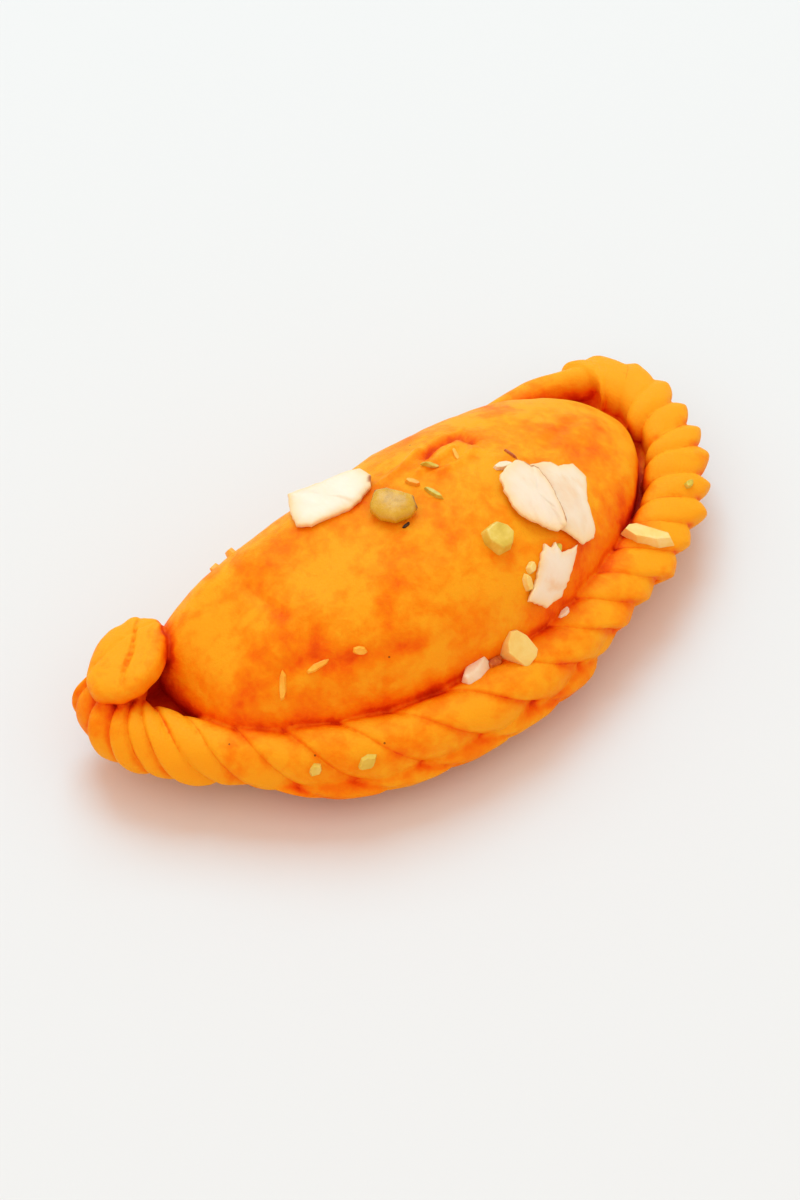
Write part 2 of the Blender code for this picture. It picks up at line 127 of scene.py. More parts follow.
def tube(rings, around, place, mark=None):
    # a cylinder whose points go to place(ring, angle), with closed ends
    bm = bmesh.new()
    bmesh.ops.create_cone(bm, cap_ends=False, segments=around, radius1=1, radius2=1, depth=1)
    uprights = [edge for edge in bm.edges if abs(edge.verts[0].co.z - edge.verts[1].co.z) > 0.5]
    bmesh.ops.subdivide_edges(bm, edges=uprights, cuts=rings - 1)
    waveLayer = bm.verts.layers.float_vector.new("wave") if mark else None
    for vert in bm.verts:
        angle = math.atan2(vert.co.y, vert.co.x) + math.pi / around
        ring = round((vert.co.z + 0.5) * rings)
        vert.co = place(ring, math.remainder(angle, 2 * math.pi))
        if mark:
            vert[waveLayer] = mark(ring)
    bmesh.ops.holes_fill(bm, edges=[edge for edge in bm.edges if edge.is_boundary], sides=0)
    bmesh.ops.recalc_face_normals(bm, faces=bm.faces)
    return bm


# the filled body

bodySizes = {
    "middle": (5.0, -17.0),
    "lengths": {True: 42.4, False: 46.6},  # to the right, to the left
    "depths": {True: 19.5, False: 22.8},  # to the back, to the front
    "squareness": {(True, True): 2.2, (False, True): 6.5, (True, False): 1.74, (False, False): 1.72},
    "seamHeight": 9.5,
    "crownHeight": 18.6,
    "crownAt": -13.0, "crownSpread": 50.0, "crownFall": 0.34,
    "bellyDepth": 11.5,
    "wallSteepness": 2.35,
    "swellSize": 15.0, "swellHeight": 0.9,
    "around": 220, "rings": 96,
}


def bodyReach(angle):
    right, back = math.cos(angle) > 0, math.sin(angle) > 0
    power = bodySizes["squareness"][right, back]
    across = (abs(math.cos(angle)) / bodySizes["lengths"][right]) ** power
    deep = (abs(math.sin(angle)) / bodySizes["depths"][back]) ** power
    return (across + deep) ** (-1 / power)


def makeBody():
    sizes = bodySizes
    bm = bmesh.new()
    bmesh.ops.create_uvsphere(bm, u_segments=sizes["around"], v_segments=sizes["rings"], radius=1)
    for vert in bm.verts:
        angle = math.atan2(vert.co.y, vert.co.x)
        out = min(math.hypot(vert.co.x, vert.co.y), 1.0) ** (2 / sizes["wallSteepness"])
        rise = signedPower(vert.co.z, 2 / sizes["wallSteepness"])
        plan = Vector(sizes["middle"]) + Vector((math.cos(angle), math.sin(angle))) * out * bodyReach(angle)
        fall = 1 - sizes["crownFall"] * ((plan.x - sizes["crownAt"]) / sizes["crownSpread"]) ** 2
        height = sizes["crownHeight"] * fall if rise > 0 else sizes["bellyDepth"]
        swell = noise.noise(Vector((plan.x, plan.y, rise * height)) / sizes["swellSize"])
        swell *= sizes["swellHeight"]
        z = sizes["seamHeight"] + rise * height + swell * max(rise, 0.0)
        vert.co = (plan.x, plan.y, max(z, 0.0))
    return newPiece("body", bm)


# the rope crimp and the row of lobes under it

ropeSizes = {
    "stations": (
        (-47.8, 0.8, 9.2), (-50.3, -4.4, 8.8), (-48.2, -12.0, 8.6), (-37.8, -26.6, 8.6), (-22.3, -37.8, 9.2),
        (-2.5, -41.9, 9.4), (17.0, -40.7, 9.3), (34.6, -37.0, 9.0), (48.4, -28.7, 9.0), (54.4, -17.2, 9.2),
        (54.6, -11.2, 9.3), (52.2, -7.0, 9.4), (46.8, -4.8, 9.3),
    ),
    "thins": (0.3, 0.75),  # thick before, thin after
    "halfWidths": (5.6, 4.9), "widthChange": (0.10, 0.24),
    "halfHeights": (4.8, 3.3), "flatness": 0.3,
    "edgeThinning": 0.25,
    "endTaper": 0.018, "endSize": 0.45,
    "wander": 0.5,
    "shortTwists": (3.6, 4.7), "shortChange": (0.05, 0.25),
    "longTwist": 10.8, "longAt": 0.39, "longSpread": 0.20,
    "unevenness": 0.10,
    "twistSizes": (0.94, 1.06),
    "grooves": (0.27, 0.19, 0.21), "grooveChanges": ((0.12, 0.34), (0.58, 0.78)),
    "grooveFade": (0.89, 0.94), "grooveFading": 0.8,  # smooth dough again at the far end
    "plumpness": 2.2,
    "lopsided": (0.58, 1.1),  # below 1 a twist rises fast and falls slowly
    "tips": (0.4, 1.3),
    "tipShares": (0.3, 0.72), "tipShareChange": (0.66, 0.80),  # where in a twist its tip is
    "tipAngles": (-0.7, -0.25, -0.4), "tipChanges": ((0.16, 0.34), (0.52, 0.66)),  # where creases turn back
    "tipFade": 0.5, "tipFading": 0.75,  # how soon and how much a crease fades past its turn
    "tipFadeFrom": (0.2, 0.34),
    "leans": (4.0, 15.0, 5.6), "leanChanges": ((0.03, 0.17), (0.5, 0.82)),
    # how strongly the painted shade in the creases shows at the left, in the middle and at the right
    "creaseShadeStrengths": (1.0, 0.35, 0.6),
    "leanBends": (0.9, 1.4), "bendChanges": (0.55, 0.82),
    "rows": 18, "around": 52,
}
hemSizes = {
    "span": (0.17, 0.63), "fade": 0.11,
    "outs": (-1.1, 1.5), "drops": (1.0, 3.2),
    "halfWidth": 4.7, "halfHeight": 2.6,
    "groove": 0.3,
    "rows": 14, "around": 32,
}


def twistEnds(length):
    # distances along the rope at which each twist ends
    sizes = ropeSizes
    ends = [0.0]
    while ends[-1] < length:
        along = ends[-1] / length
        swell = bump(along - sizes["longAt"], sizes["longSpread"])
        pitch = blend(*sizes["shortTwists"], ease(*sizes["shortChange"], along))
        pitch = blend(pitch, sizes["longTwist"], swell)
        ends.append(ends[-1] + pitch * random.uniform(1 - sizes["unevenness"], 1 + sizes["unevenness"]))
    return [end * length / ends[-1] for end in ends]


def ridgeOf(share, plumpness):
    # 0 in the creases at both ends of a twist, 1 on its ridge
    return max(1 - abs(2 * share - 1) ** plumpness, 0.0) ** (1 / plumpness)


def twistedTube(name, route, ends, sizes, section):
    # rings lean back along the route, so each crease runs slantwise over the tube
    lean = ropeSizes
    count = len(ends) - 1
    rows = [(1 - math.cos(math.pi * row / sizes["rows"])) / 2 for row in range(sizes["rows"])]

    def place(ring, angle):
        twist, row = divmod(ring, len(rows))
        share = rows[row]
        if twist == count:
            twist, share = count - 1, 1.0
        centre = blend(ends[twist], ends[twist + 1], share)
        along = centre / route.length
        change = ease(*lean["bendChanges"], along)
        tip = between(lean["tipAngles"], lean["tipChanges"], along)
        around = (angle - tip) / (math.pi - tip) if angle > tip else (tip - angle) / (math.pi + tip)
        back = between(lean["leans"], lean["leanChanges"], along)
        distance = centre - back * around ** blend(*lean["leanBends"], change)
        at, ahead = route.at(distance), route.ahead(distance)
        outward = Vector((ahead.y, -ahead.x, 0.0)).normalized()
        out, up = section(twist, share, along, angle)
        return at + outward * out + Vector((0, 0, up))

    def wave(ring):
        # the sine and cosine of the turn, the cosine weaker where the painted crease shade shows less
        turn = math.tau * rows[ring % len(rows)]
        strength = between(lean["creaseShadeStrengths"], lean["tipChanges"], ring / (count * len(rows)))
        return math.sin(turn), math.cos(turn) * strength, 0.0

    return newPiece(name, tube(count * len(rows), sizes["around"], place, wave))


def makeRope(route, ends):
    sizes = ropeSizes
    swells = [random.uniform(*sizes["twistSizes"]) for _ in ends]
    wander = [random.uniform(-sizes["wander"], sizes["wander"]) for _ in ends]

    def section(twist, share, along, angle):
        thin = ease(*sizes["thins"], along)
        groove = between(sizes["grooves"], sizes["grooveChanges"], along)
        groove *= 1 - sizes["grooveFading"] * ease(*sizes["grooveFade"], along)
        past = between(sizes["tipAngles"], sizes["tipChanges"], along) - angle
        fading = sizes["tipFading"] * ease(0.0, sizes["tipFade"], past)
        groove *= 1 - fading * ease(*sizes["tipFadeFrom"], along) * (1 - thin)
        lopsided = blend(*sizes["lopsided"], ease(*sizes["bendChanges"], along))
        ridge = ridgeOf(share ** lopsided, sizes["plumpness"])
        grow = (1 - groove * (1 - ridge)) * blend(1.0, swells[twist], ridge)
        grow *= blend(sizes["endSize"], 1.0, ease(0.0, sizes["endTaper"], min(along, 1 - along)))
        peak = blend(*sizes["tipShares"], ease(*sizes["tipShareChange"], along))
        rise = min(share / peak, (1 - share) / (1 - peak))
        tip = blend(*sizes["tips"], thin) * (rise - 0.5) * max(math.cos(angle), 0.0) ** 2
        halfWidth = blend(*sizes["halfWidths"], ease(*sizes["widthChange"], along))
        out = math.cos(angle) * halfWidth * grow + tip + wander[twist] * ridge
        edge = 1 - sizes["edgeThinning"] * math.cos(angle) * thin
        flat = signedPower(math.sin(angle), 1 - sizes["flatness"] * thin)
        up = flat * blend(*sizes["halfHeights"], thin) * grow * edge
        return out, up

    return twistedTube("rope", route, ends, sizes, section)


def makeHem(route, ends):
    # the sealed edge of the dough, seen as a lower row of lobes
    sizes = hemSizes
    low, high = (route.length * share for share in sizes["span"])
    halves = [(a + b) / 2 for a, b in zip(ends, ends[1:])]
    halves = [end for end in halves if low < end < high]

    def section(_, share, along, angle):
        start, end = sizes["span"]
        swell = ease(0.0, sizes["fade"], along - start) * ease(0.0, sizes["fade"], end - along)
        grow = 1 - sizes["groove"] * (1 - ridgeOf(share, ropeSizes["plumpness"]))
        out = blend(*sizes["outs"], swell) + math.cos(angle) * sizes["halfWidth"] * grow
        up = -blend(*sizes["drops"], swell) + math.sin(angle) * sizes["halfHeight"] * grow
        return out, up

    return twistedTube("hem", route, halves, sizes, section)


# the flat seal, the back fold and the knob

sealSizes = {"top": 7.6, "thickness": 3.0, "back": -1.0, "points": 160}
foldSizes = {
    "stations": (
        (-47.0, -1.5, 8.4), (-30.0, -1.0, 8.0), (0.0, -1.0, 8.0), (38.0, -1.4, 8.2), (52.0, -6.4, 9.0),
    ),
    "halfWidth": 3.1, "halfHeight": 3.3,
    "around": 36, "rings": 130,
}
knobSizes = {
    "at": (-44.6, -1.6, 15.0),
    "size": (8.3, 5.8, 2.4),
    "turn": 26, "tilt": -14,  # degrees
    "bulge": 0.6, "edgeBulge": 0.75,
    "raggedness": 0.09, "rags": 2.6,
    # slope, offset, width and depth of each
    "creases": ((0.30, -0.12, 0.032, 0.24), (-0.8, 0.34, 0.035, 0.12), (0.1, -0.45, 0.035, 0.08)),
    "neckRadius": 4.3, "neckOffset": (-2.4, -0.5, -3.4), "neckAround": 48, "neckRings": 24,
    "around": 96, "rings": 48,
}


def makeSeal(route):
    sizes = sealSizes
    bm = bmesh.new()
    bmesh.ops.create_circle(bm, cap_ends=True, segments=sizes["points"], radius=1)
    for i, vert in enumerate(bm.verts):
        at = route.at(route.length * i / (sizes["points"] - 1))
        vert.co = (at.x, min(at.y, sizes["back"]), sizes["top"] - sizes["thickness"])
    grown = bmesh.ops.extrude_face_region(bm, geom=list(bm.faces))["geom"]
    top = [item for item in grown if isinstance(item, bmesh.types.BMVert)]
    bmesh.ops.translate(bm, vec=(0, 0, sizes["thickness"]), verts=top)
    bmesh.ops.recalc_face_normals(bm, faces=bm.faces)
    return newPiece("seal", bm)


def makeFold():
    sizes = foldSizes
    route = Route(sizes["stations"])

    def place(ring, angle):
        out = Vector((0, math.cos(angle) * sizes["halfWidth"], math.sin(angle) * sizes["halfHeight"]))
        return route.at(route.length * ring / sizes["rings"]) + out

    return newPiece("fold", tube(sizes["rings"], sizes["around"], place))


def makeKnob():
    sizes = knobSizes
    bm = bmesh.new()
    bmesh.ops.create_uvsphere(bm, u_segments=sizes["around"], v_segments=sizes["rings"], radius=1)
    for vert in bm.verts:
        angle = math.atan2(vert.co.y, vert.co.x)
        ragged = noise.noise(Vector((math.cos(angle), math.sin(angle), 0.0)) * sizes["rags"])
        out = math.hypot(vert.co.x, vert.co.y) ** sizes["edgeBulge"] * (1 + ragged * sizes["raggedness"])
        z = signedPower(vert.co.z, sizes["bulge"])
        for slope, offset, width, depth in sizes["creases"]:
            if vert.co.z > 0:
                z -= depth * bump(vert.co.y - slope * vert.co.x - offset, width)
        flat = Vector((math.cos(angle), math.sin(angle))) * out
        vert.co = (flat.x * sizes["size"][0], flat.y * sizes["size"][1], z * sizes["size"][2])
    turn = Matrix.Rotation(math.radians(sizes["turn"]), 4, "Z")
    tilt = Matrix.Rotation(math.radians(sizes["tilt"]), 4, "X")
    bmesh.ops.transform(bm, matrix=Matrix.Translation(sizes["at"]) @ turn @ tilt, verts=bm.verts)
    return newPiece("knob", bm)


def makeNeck():
    sizes = knobSizes
    bm = bmesh.new()
    around, rings = sizes["neckAround"], sizes["neckRings"]
    bmesh.ops.create_uvsphere(bm, u_segments=around, v_segments=rings, radius=sizes["neckRadius"])
    bmesh.ops.translate(bm, vec=Vector(sizes["at"]) + Vector(sizes["neckOffset"]), verts=bm.verts)
    return newPiece("neck", bm)


# one skin of dough

skinSizes = {
    "voxel": 0.23,  # mm between points, before thinning
    "smoothing": 1,
    "kept": 0.24,  # share of the faces left after thinning
    "lumps": ((5.2, 0.24), (1.9, 0.075)),  # size and height of the uneven surface
    "wrinkles": (  # stations in mm, width, depth
        (((-26.4, -9.0), (-26.7, -12.2), (-26.5, -17.5)), 0.6, 0.42),
        (((-32.6, -22.0), (-28.7, -24.2), (-26.1, -27.1), (-21.6, -29.5), (-14.3, -33.3)), 1.0, 0.42),
        (((-19.5, -31.6), (-21.9, -33.2)), 0.5, 0.25),
        (((9.7, -10.1), (13.5, -9.0), (17.7, -9.3), (18.1, -12.4)), 0.65, 0.9),
        (((4.9, -12.7), (9.5, -12.3), (14.5, -11.5)), 0.6, -0.7),
        (((7.9, -14.7), (12.5, -14.9), (16.5, -14.0)), 0.6, -0.6),
        (((-0.1, -10.4), (5.1, -9.7), (10.1, -8.3)), 0.65, -0.65),
        (((27.2, -19.2), (31.9, -17.6), (35.9, -16.5)), 1.0, 0.32),
        (((31.8, -22.5), (35.9, -21.5), (39.4, -19.7)), 1.0, 0.28),
    ),
    # how much darker the colour gets along each wrinkle, by its depth
    "wrinkleDarkening": 0.45, "wrinkledAbove": 12.0, "footBelow": 1.0,
    # x, y, width and depth of each
    "dents": ((-26.0, -22.9, 2.6, 0.45), (-34.2, -14.4, 0.7, 0.2), (14.4, -12.4, 2.8, 0.25)),
}


def joinDough(base, others):
    group = bpy.data.collections.new("joining")
    for piece in others:
        group.objects.link(piece)
    union = base.modifiers.new("union", "BOOLEAN")
    union.operation = "UNION"
    union.operand_type = "COLLECTION"
    union.collection = group
    union.solver = "MANIFOLD"
    mesh = evaluated(base)
    for piece in [base, *others]:
        bpy.data.objects.remove(piece)
    bpy.data.collections.remove(group)
    return newObject("dough", mesh)


def dropInside(bm):
    # closed hollows inside the dough are separate shells: only the outer one stays
    waiting = set(bm.verts)
    shells = []
    while waiting:
        shell, border = set(), [waiting.pop()]
        while border:
            vert = border.pop()
            shell.add(vert)
            near = {edge.other_vert(vert) for edge in vert.link_edges} & waiting
            waiting -= near
            border.extend(near)
        shells.append(shell)
    outer = max(shells, key=len)
    inner = [vert for shell in shells if shell is not outer for vert in shell]
    bmesh.ops.delete(bm, geom=inner, context="VERTS")
    print("stage: skin of", len(outer), "points,", len(shells) - 1, "hollows dropped")


def evenSkin(piece):
    # even small faces all over, so that creases and joins round off as dough does
    remesh = piece.modifiers.new("skin", "REMESH")
    remesh.mode = "VOXEL"
    remesh.voxel_size = skinSizes["voxel"]
    mesh = evaluated(piece)
    piece.modifiers.clear()
    piece.data = mesh
    bm = bmesh.new()
    bm.from_mesh(mesh)
    dropInside(bm)
    for _ in range(skinSizes["smoothing"]):
        bmesh.ops.smooth_vert(
            bm, verts=bm.verts, factor=0.5, use_axis_x=True, use_axis_y=True, use_axis_z=True
        )
    bm.to_mesh(mesh)
    bm.free()
    thin = piece.modifiers.new("thin", "DECIMATE")
    thin.ratio = skinSizes["kept"]
    piece.data = evaluated(piece)
    piece.modifiers.clear()


def distanceToLine(point, stations):
    nearest = 1e9
    for a, b in zip(stations, stations[1:]):
        a, b = Vector(a), Vector(b)
        span = b - a
        share = min(max((point - a).dot(span) / span.length_squared, 0.0), 1.0)
        nearest = min(nearest, (point - a - span * share).length)
    return nearest


def roughenSkin(piece):
    sizes = skinSizes
    bm = bmesh.new()
    bm.from_mesh(piece.data)
    bm.normal_update()
    wrinkledLayer = bm.verts.layers.float.new("wrinkled")
    normals = [vert.normal.copy() for vert in bm.verts]
    for vert, normal in zip(bm.verts, normals):
        at = vert.co
        offset = sum(noise.noise(at / size) * height for size, height in sizes["lumps"])
        if normal.z > 0.2 and at.z > sizes["wrinkledAbove"]:
            plan = at.xy
            for stations, width, depth in sizes["wrinkles"]:
                hollow = depth * bump(distanceToLine(plan, stations), width)
                offset -= hollow
                vert[wrinkledLayer] += max(hollow, 0.0)
            for x, y, width, depth in sizes["dents"]:
                offset -= depth * bump((plan - Vector((x, y))).length, width)
        if at.z < sizes["footBelow"]:
            offset *= max(at.z, 0.0)  # the foot stays flat
        vert.co += normal * offset
        vert.co.z = max(vert.co.z, 0.0)
    bm.to_mesh(piece.data)
    bm.free()


nookSizes = {
    "rays": 28,
    "reach": 15.0, "creaseReach": 2.4, "lift": 0.06,  # mm
    "smoothing": 3,
    # painted shade: the wide and close hemmed-in shares darken the dough colour on the body and on the rope
    "bodyShadePaint": (1.08, 1.05), "ropeShadePaint": (0.52, 0.88),  # share of the wide and of the close shade
    "ropeFade": (0.25, 0.9),
}


# spots that fried darker, and where the amount is below 0 painted light, paler where the dough shows lit
# brighter: x, y, z, radius and amount
brownSpotsAndPaintedLight = (
    (-27.0, -23.1, 22.7, 2.6, 0.22), (-26.2, -27.6, 20.6, 3.0, 0.28), (-14.8, -32.4, 21.6, 2.6, 0.20),
    (-36.5, -20.5, 17.0, 4.5, 0.34), (-38.8, -11.5, 16.3, 2.5, 0.10),
    (-5.0, -9.5, 27.3, 3.0, 0.22), (14.0, -35.5, 20.6, 3.0, 0.24), (20.0, -36.0, 18.2, 4.0, 0.35),
    (9.0, -39.6, 15.0, 3.5, 0.20), (-24.0, -2.7, 22.6, 2.0, 0.10), (10.4, -10.6, 26.2, 1.5, 0.20),
    (30.7, -34.2, 14.1, 4.0, 0.30), (34.2, -30.9, 15.8, 3.0, 0.25), (-2.0, -37.0, 19.4, 3.0, 0.18),
    (-21.1, -29.9, 21.3, 2.5, 0.16), (-12.0, -36.0, 17.0, 5.0, -0.12),
    (-44.6, -1.6, 17.0, 7.0, -0.16), (-45.0, -18.0, 10.0, 10.0, -0.22),
    (53.0, -14.0, 12.0, 11.0, -0.32), (40.0, -33.0, 12.0, 10.0, -0.22),
    (30.7, -24.2, 19.0, 5.0, 0.12), (33.0, -24.0, 19.0, 4.0, 0.10),
)


def rayFan(count):
    # spread over the half sphere round +Z, as light falls on a matt surface
    fan = []
    for i in range(count):
        height = math.sqrt(1 - (i + 0.5) / count)
        flat = math.sqrt(1 - height * height)
        turn = i * math.pi * (3 - math.sqrt(5))
        fan.append(Vector((math.cos(turn) * flat, math.sin(turn) * flat, height)))
    return fan


def smoothed(mesh, values, times):
    ends = np.empty(len(mesh.edges) * 2, np.int32)
    mesh.edges.foreach_get("vertices", ends)
    a, b = ends.reshape(-1, 2).T
    count = np.bincount(a, minlength=len(values)) + np.bincount(b, minlength=len(values))
    for _ in range(times):
        near = np.bincount(a, values[b], len(values)) + np.bincount(b, values[a], len(values))
        values = (values + near / np.maximum(count, 1)) / 2
    return values


def keepAttribute(mesh, name, values):
    mesh.attributes.new(name, "FLOAT", "POINT").data.foreach_set("value", values.astype(np.float32))


def followRope(piece, rope):
    # how far round its twist each point of the rope is, as a sine and a cosine: both 0 and 1 in a crease
    waves = rope.data.attributes["wave"].data
    faces = [face.vertices for face in rope.data.polygons]
    points = [placing @ vert.co for vert in rope.data.vertices]
    tree = BVHTree.FromPolygons(points, faces)
    mesh = piece.data
    onRope, sine, cosine = (np.zeros(len(mesh.vertices)) for _ in range(3))
    for vert in mesh.vertices:
        at, _, index, gap = tree.find_nearest(vert.co, nookSizes["ropeFade"][1] * mm)
        if at is None:
            continue
        corners = faces[index]
        weights = poly_3d_calc([points[corner] for corner in corners], at)
        wave = Vector()
        for corner, weight in zip(corners, weights):
            wave += waves[corner].vector * weight
        low, high = nookSizes["ropeFade"]
        onRope[vert.index] = 1 - ease(low, high, gap / mm)
        sine[vert.index], cosine[vert.index] = wave.x, wave.y * onRope[vert.index]
    keepAttribute(mesh, "twistSine", sine)
    keepAttribute(mesh, "twistCosine", cosine)
    return smoothed(mesh, onRope, nookSizes["smoothing"])


def markShade(piece, onRope):
    # how hemmed in each point is, widely and closely, painted into the colour as shade; the brown and pale
    # spots and the wrinkle darkening are added to it
    sizes = nookSizes
    mesh = piece.data
    faces = [face.vertices for face in mesh.polygons]
    tree = BVHTree.FromPolygons([vert.co for vert in mesh.vertices], faces)
    fan = rayFan(sizes["rays"])
    reach, near = sizes["reach"] * mm, sizes["creaseReach"] * mm
    wide, close = (np.zeros(len(mesh.vertices)) for _ in range(2))
    for vert in mesh.vertices:
        turn = vert.normal.to_track_quat("Z", "X")
        start = vert.co + vert.normal * sizes["lift"] * mm
        for ray in fan:
            hit = tree.ray_cast(start, turn @ ray, reach)[3]
            if hit is not None:
                wide[vert.index] += 1 - hit / reach
                close[vert.index] += max(1 - hit / near, 0.0)
    body, rope = (np.array(sizes[name])[:, None] / len(fan) for name in ("bodyShadePaint", "ropeShadePaint"))
    share = blend(body, rope, onRope)
    wrinkled = np.empty(len(mesh.vertices))
    mesh.attributes["wrinkled"].data.foreach_get("value", wrinkled)
    # painted shade from the hemmed-in rays, plus the darkening along the wrinkles
    shadeAndToast = share[0] * wide + share[1] * close + wrinkled * skinSizes["wrinkleDarkening"]
    points = np.empty(len(mesh.vertices) * 3)
    mesh.vertices.foreach_get("co", points)
    points = points.reshape(-1, 3)
    for x, y, z, radius, amount in brownSpotsAndPaintedLight:
        gap = np.linalg.norm(points - np.array(placing @ Vector((x, y, z))), axis=1) / mm
        shadeAndToast += amount * np.exp(-((gap / radius) ** 2))
    keepAttribute(mesh, "shadeAndToast", smoothed(mesh, shadeAndToast, sizes["smoothing"]))


route = Route(ropeSizes["stations"])
ends = twistEnds(route.length)
rope = makeRope(route, ends)
ropeGuide = rope.copy()
ropeGuide.data = rope.data.copy()
doughParts = [rope, makeHem(route, ends), makeSeal(route), makeFold(), makeKnob(), makeNeck()]
dough = joinDough(makeBody(), doughParts)
evenSkin(dough)
roughenSkin(dough)
dough.data.transform(placing)
dough.data.shade_smooth()
markShade(dough, followRope(dough, ropeGuide))
bpy.data.objects.remove(ropeGuide)
print("stage: dough", len(dough.data.polygons), "faces,", len(dough.data.vertices), "points")


# material helpers

def newMaterial(name):
    material = bpy.data.materials.new(name)
    material.use_nodes = True
    nodes = material.node_tree.nodes
    return material, nodes, nodes["Principled BSDF"]


def feed(socket, value):
    # with a value, a colour or another node's socket
    if isinstance(value, bpy.types.NodeSocket):
        socket.id_data.links.new(value, socket)
    elif socket.type == "RGBA":
        socket.default_value = (*value, 1)
    else:
        socket.default_value = value


def addNode(nodes, kind, inputs=None, **settings):
    node = nodes.new(kind)
    for key, value in settings.items():
        setattr(node, key, value)
    for key, value in (inputs or {}).items():
        feed(node.inputs[key], value)
    return node


def addRamp(nodes, share, stops):
    ramp = addNode(nodes, "ShaderNodeValToRGB", {"Fac": share})
    elements = ramp.color_ramp.elements
    elements[0].position, elements[0].color = stops[0][0], (*stops[0][1], 1)
    elements[1].position, elements[1].color = stops[-1][0], (*stops[-1][1], 1)
    for position, colour in stops[1:-1]:
        elements.new(position).color = (*colour, 1)
    return ramp.outputs["Color"]


def millimetres(nodes):
    # object coordinates counted in millimetres
    at = nodes.new("ShaderNodeTexCoord").outputs["Object"]
    return addNode(nodes, "ShaderNodeMapping", {"Vector": at, "Scale": (1000, 1000, 1000)}).outputs["Vector"]


def mathNode(nodes, operation, a, b=None, clamp=False):
    inputs = {0: a} if b is None else {0: a, 1: b}
    return addNode(nodes, "ShaderNodeMath", inputs, operation=operation, use_clamp=clamp).outputs[0]


def attribute(nodes, name):
    return addNode(nodes, "ShaderNodeAttribute", attribute_name=name).outputs["Fac"]


def mixColours(nodes, share, a, b):
    return addNode(nodes, "ShaderNodeMix", {0: share, 6: a, 7: b}, data_type="RGBA").outputs[2]


# grain and mottling that dough and nuts share: a mask of blotches and a height
grainInputs = (
    ("Vector", "NodeSocketVector", (0, 0, 0)),
    ("Blotch Size", "NodeSocketFloat", 8.0),
    ("Grain Size", "NodeSocketFloat", 0.5),
    ("Stretch", "NodeSocketVector", (1, 1, 1)),
)


def makeGrainGroup():
    group = bpy.data.node_groups.new("grain", "ShaderNodeTree")
    for name, kind, default in grainInputs:
        group.interface.new_socket(name, in_out="INPUT", socket_type=kind).default_value = default
    for name in ("Blotches", "Height"):
        group.interface.new_socket(name, in_out="OUTPUT", socket_type="NodeSocketFloat")
    nodes = group.nodes
    entry = nodes.new("NodeGroupInput").outputs
    leave = nodes.new("NodeGroupOutput").inputs
    inputs = {0: entry["Vector"], 1: entry["Stretch"]}
    stretched = addNode(nodes, "ShaderNodeVectorMath", inputs, operation="MULTIPLY").outputs[0]
    looks = {
        "Blotches": ("Blotch Size", {"Detail": 5.0, "Roughness": 0.55, "Distortion": 0.4}),
        "Height": ("Grain Size", {"Detail": 4.0, "Roughness": 0.6}),
    }
    for name, (size, inputs) in looks.items():
        scale = mathNode(nodes, "DIVIDE", 1.0, entry[size])
        pattern = addNode(nodes, "ShaderNodeTexNoise", {"Vector": stretched, "Scale": scale, **inputs})
        feed(leave[name], pattern.outputs["Fac"])
    return group


grainGroup = makeGrainGroup()


def addGrain(nodes, vector, blotchSize, grainSize, stretch=(1, 1, 1)):
    inputs = {"Vector": vector, "Blotch Size": blotchSize, "Grain Size": grainSize, "Stretch": stretch}
    node = addNode(nodes, "ShaderNodeGroup", inputs, node_tree=grainGroup)
    return node.outputs["Blotches"], node.outputs["Height"]


def addGloss(nodes, shader, height, roughness):
    # smoother in the hollows of the grain and rougher on top of it
    span = {"From Min": 0.3, "From Max": 0.7, "To Min": roughness - 0.08, "To Max": roughness + 0.11}
    gloss = addNode(nodes, "ShaderNodeMapRange", {"Value": height, **span})
    feed(shader.inputs["Roughness"], gloss.outputs["Result"])


def addRelief(nodes, shader, height, look):
    inputs = {"Height": height, "Strength": 1.0, "Distance": look["grainHeight"] * mm}
    feed(shader.inputs["Normal"], addNode(nodes, "ShaderNodeBump", inputs).outputs["Normal"])


def addScatter(shader, look):
    shader.inputs["Subsurface Weight"].default_value = look["scatter"]
    shader.inputs["Subsurface Radius"].default_value = look["scatterColour"]
    shader.inputs["Subsurface Scale"].default_value = look["scatterDepth"] * mm
    shader.inputs["Specular IOR Level"].default_value = look["shine"]


# fried dough

doughLook = {
    # the darker stops are painted shade for the grooves and creases, over the fried browning and mottling
    "colours": (  # from the open crown into the deepest groove
        (0.00, (1.000, 0.385, 0.009)),
        (0.22, (0.990, 0.255, 0.001)),
        (0.44, (0.950, 0.140, 0.000)),
        (0.66, (0.760, 0.050, 0.000)),
        (1.00, (0.500, 0.010, 0.000)),
    ),
    "blotchSize": 8.0, "blotchShare": 1.16, "blotchMiddle": 0.42,
    "fineSize": 1.7, "fineShare": 0.48, "fineMiddle": 0.5, "fineHeight": 0.5,
    # painted shade along the rope's creases: its width in twist sine and its darkness
    "creaseShadeWidth": 0.16, "creaseShadeShare": 0.42,
    "speckColour": (0.16, 0.035, 0.005), "speckCell": 4.2, "speckRadius": 0.17,
    "specksKept": 0.35, "speckStrength": 0.8,
    "roughness": 0.46, "shine": 0.07,
    "grainSize": 0.40, "grainHeight": 0.11, "scatterDepth": 1.4,  # mm
    "scatter": 0.18, "scatterColour": (1.0, 0.35, 0.08),
}


def addCreaseShade(nodes, look):
    # a thin dark line of painted shade where the sine passes 0 on the crease side of the rope
    do = partial(mathNode, nodes)
    gap = do("ABSOLUTE", attribute(nodes, "twistSine"))
    span = {"From Max": look["creaseShadeWidth"], "To Min": look["creaseShadeShare"], "To Max": 0.0}
    line = addNode(nodes, "ShaderNodeMapRange", {"Value": gap, **span}).outputs["Result"]
    return do("MULTIPLY", line, do("MULTIPLY", attribute(nodes, "twistCosine"), 1.0, clamp=True))


